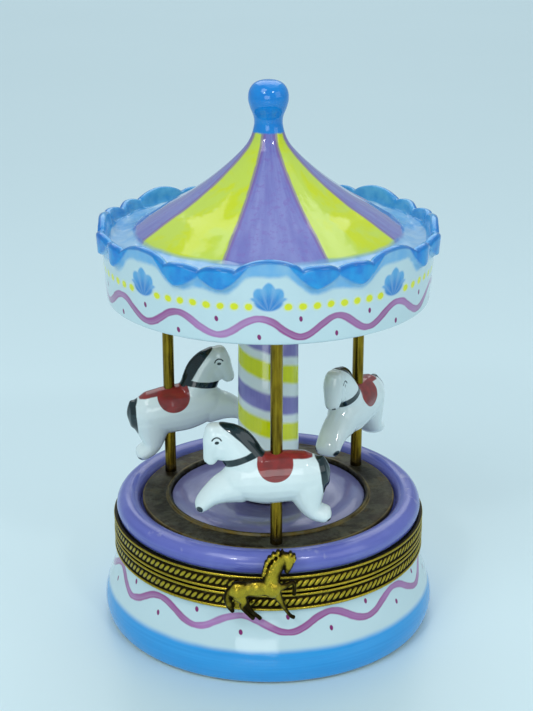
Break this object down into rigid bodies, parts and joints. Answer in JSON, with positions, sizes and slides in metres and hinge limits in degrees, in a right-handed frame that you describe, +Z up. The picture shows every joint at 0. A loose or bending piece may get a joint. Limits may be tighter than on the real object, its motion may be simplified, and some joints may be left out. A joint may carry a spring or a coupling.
{
  "type": "carousel music box",
  "caption": "Round hinged porcelain box with brass rims whose lid is a carousel of leaping horses under a tent canopy, turned by a wind-up movement.",
  "frame": {"origin": "centre of the foot, on the surface that the box stands on", "axes": "+Z up along the carousel's spindle, front with the clasp at -Y, hinge at +Y"},
  "size_m": [0.0814, 0.0818, 0.1312],
  "materials": {
    "white_porcelain": "clear gloss glaze with small hand-painted marks",
    "deck_porcelain": "blue-violet glaze with faint brush streaks",
    "canopy_porcelain": "gloss glaze with a painted tent roof, blue ruffle and knob",
    "column_porcelain": "gloss glaze with spiral yellow, white and lavender stripes",
    "aged_brass": "dark aged brass with bright worn high points",
    "pole_brass": "darkened drawn brass",
    "movement_brass": "satin machined brass",
    "steel": "fine ground steel"
  },
  "bodies": {
    "base": {"base_bowl": "white_porcelain", "base_rim": "aged_brass", "hinge_leaf_lower": "aged_brass", "hinge_pin": "aged_brass", "clasp_catch": "aged_brass", "movement_screw_1": "steel", "movement_screw_2": "steel", "movement_screw_3": "steel", "bedplate": "movement_brass", "comb": "steel", "comb_block": "movement_brass", "comb_screw_1": "steel", "comb_screw_2": "steel", "bearing_bracket_inner": "movement_brass", "bearing_bracket_outer": "movement_brass", "governor_post": "movement_brass", "governor_bracket": "movement_brass"},
    "barrel": {"spring_barrel": "movement_brass", "mainspring": "steel", "barrel_cover": "movement_brass"},
    "key": {"winding_arbor": "steel", "winding_key": "movement_brass"},
    "cylinder": {"pin_cylinder": "movement_brass", "cylinder_arbor": "steel", "cylinder_pinion": "movement_brass", "end_gear": "movement_brass"},
    "governor": {"governor_wheel": "movement_brass"},
    "fly": {"governor_worm": "steel", "governor_fan": "movement_brass"},
    "lid": {"lid_deck": "deck_porcelain", "lid_rim": "aged_brass", "hinge_leaf_upper": "aged_brass", "clasp_horse": "aged_brass", "spindle_bush_lower": "movement_brass", "spindle_bush_upper": "movement_brass", "centre_column": "column_porcelain"},
    "carousel": {"platform_ring": "aged_brass", "canopy": "canopy_porcelain", "canopy_plate": "movement_brass", "pole_front": "pole_brass", "pole_nut_front": "movement_brass", "horse_front": "white_porcelain", "pole_right": "pole_brass", "pole_nut_right": "movement_brass", "horse_right": "white_porcelain", "pole_left": "pole_brass", "pole_nut_left": "movement_brass", "horse_left": "white_porcelain", "spindle": "steel", "spindle_nut": "movement_brass", "driven_dog": "steel"}
  },
  "joints": [
    {"name": "lid_hinge", "type": "hinge", "parent": "base", "child": "lid", "pos_m": [0, 0.0396, 0.02215], "axis": [-1, 0, 0], "range_deg": [0, 95]},
    {"name": "carousel_spin", "type": "hinge", "parent": "lid", "child": "carousel", "pos_m": [0, 0, 0.03], "axis": [0, 0, 1], "continuous": true},
    {"name": "barrel_spin", "type": "hinge", "parent": "base", "child": "barrel", "pos_m": [0, 0, 0.011], "axis": [0, 0, 1], "continuous": true},
    {"name": "cylinder_spin", "type": "hinge", "parent": "base", "child": "cylinder", "pos_m": [-0.02, 0, 0.0168], "axis": [1, 0, 0], "continuous": true},
    {"name": "governor_spin", "type": "hinge", "parent": "base", "child": "governor", "pos_m": [-0.026, -0.0074, 0.0168], "axis": [1, 0, 0], "continuous": true},
    {"name": "fly_spin", "type": "hinge", "parent": "base", "child": "fly", "pos_m": [-0.0245, -0.0111, 0.017], "axis": [0, 0, 1], "continuous": true},
    {"name": "key_turn", "type": "hinge", "parent": "base", "child": "key", "pos_m": [0, 0, 0.003], "axis": [0, 0, 1], "continuous": true}
  ],
  "couplings": [
    {"joint": "barrel_spin", "follows": "carousel_spin", "ratio": 1},
    {"joint": "cylinder_spin", "follows": "carousel_spin", "ratio": -3.3333},
    {"joint": "governor_spin", "follows": "carousel_spin", "ratio": 9},
    {"joint": "fly_spin", "follows": "carousel_spin", "ratio": 108}
  ]
}
